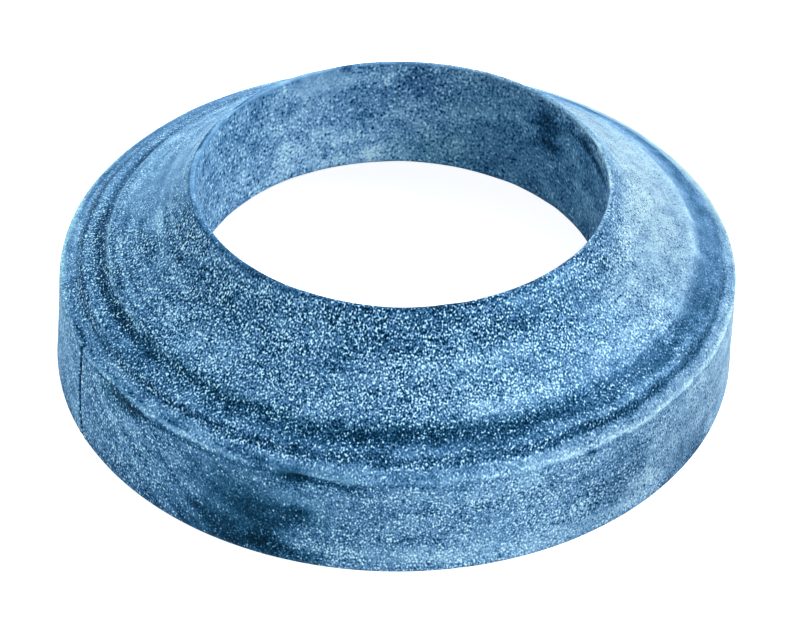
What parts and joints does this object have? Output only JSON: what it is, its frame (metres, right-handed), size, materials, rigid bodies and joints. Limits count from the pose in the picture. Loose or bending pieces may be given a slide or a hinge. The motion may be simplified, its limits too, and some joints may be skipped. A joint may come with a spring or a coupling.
{
  "type": "spud gasket",
  "caption": "Moulded blue sponge rubber ring with a round bore, a hollow flared top and a straight outer wall, for sealing a close-coupled cistern to its pan.",
  "frame": {"origin": "centre of the foot, on the plane that the ring stands on", "axes": "+Z along the ring's axis, from the foot up to the lip. +X is to the right and +Y is away from the viewer in the picture, which sees the moulding seam at the front left."},
  "size_m": [0.0888, 0.0888, 0.0254],
  "materials": {
    "rubber": "dull, mottled skin on sponge rubber"
  },
  "bodies": {
    "root": {"spud_gasket": "rubber"}
  },
  "joints": []
}
